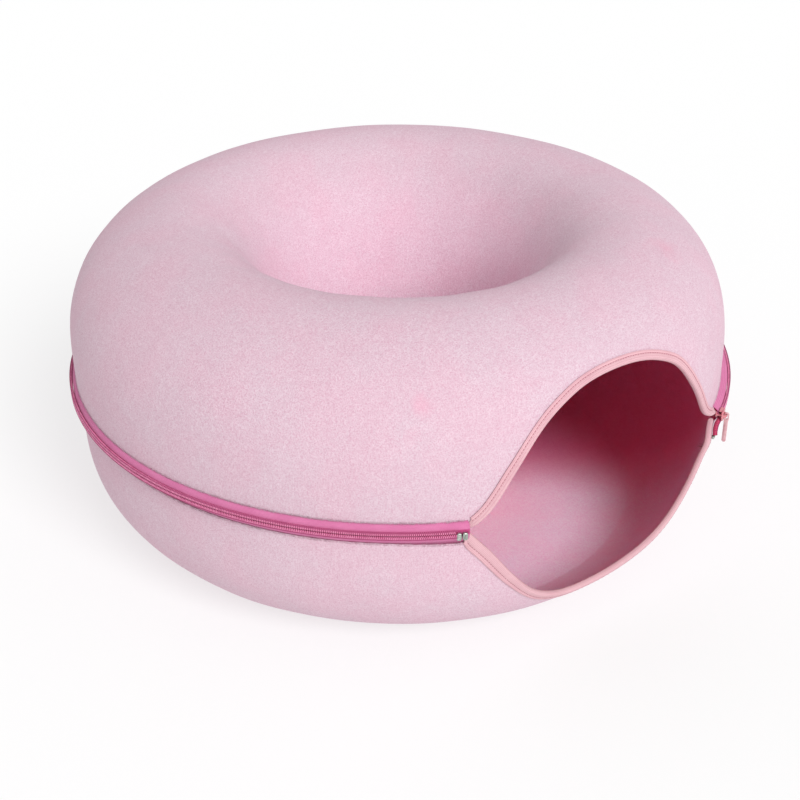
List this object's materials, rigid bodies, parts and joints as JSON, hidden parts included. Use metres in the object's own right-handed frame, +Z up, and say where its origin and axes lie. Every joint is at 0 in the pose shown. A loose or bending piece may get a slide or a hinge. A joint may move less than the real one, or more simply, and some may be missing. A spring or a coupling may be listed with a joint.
{
  "type": "pet tunnel bed",
  "caption": "Round felt pet tunnel bed made of zipped upper and lower shells, with a sunken middle well and a bound entrance in its side.",
  "frame": {"origin": "middle of the bed's flat bottom, on its upright axis, at floor level", "axes": "+Z up along the bed's axis, -Y out through the middle of the entrance, +X to the right of somebody who looks in"},
  "size_m": [0.5998, 0.5796, 0.28],
  "materials": {
    "felt": "soft needled felt, matt",
    "zip_tape": "woven polyester tape",
    "zip_coil": "slightly shiny nylon coil",
    "binding": "folded fabric tape, matt",
    "slider": "semi-gloss enamel",
    "stop": "bright metal"
  },
  "bodies": {
    "root": {"upper_shell": "felt", "lower_shell": "felt", "zip_tape_upper": "zip_tape", "zip_tape_lower": "zip_tape", "zip_coil_upper": "zip_coil", "zip_coil_lower": "zip_coil", "binding_upper": "binding", "binding_lower": "binding", "slider": "slider", "pull": "slider", "stop_inner": "stop", "stop_outer": "stop", "stop_open_end": "stop"}
  },
  "joints": []
}
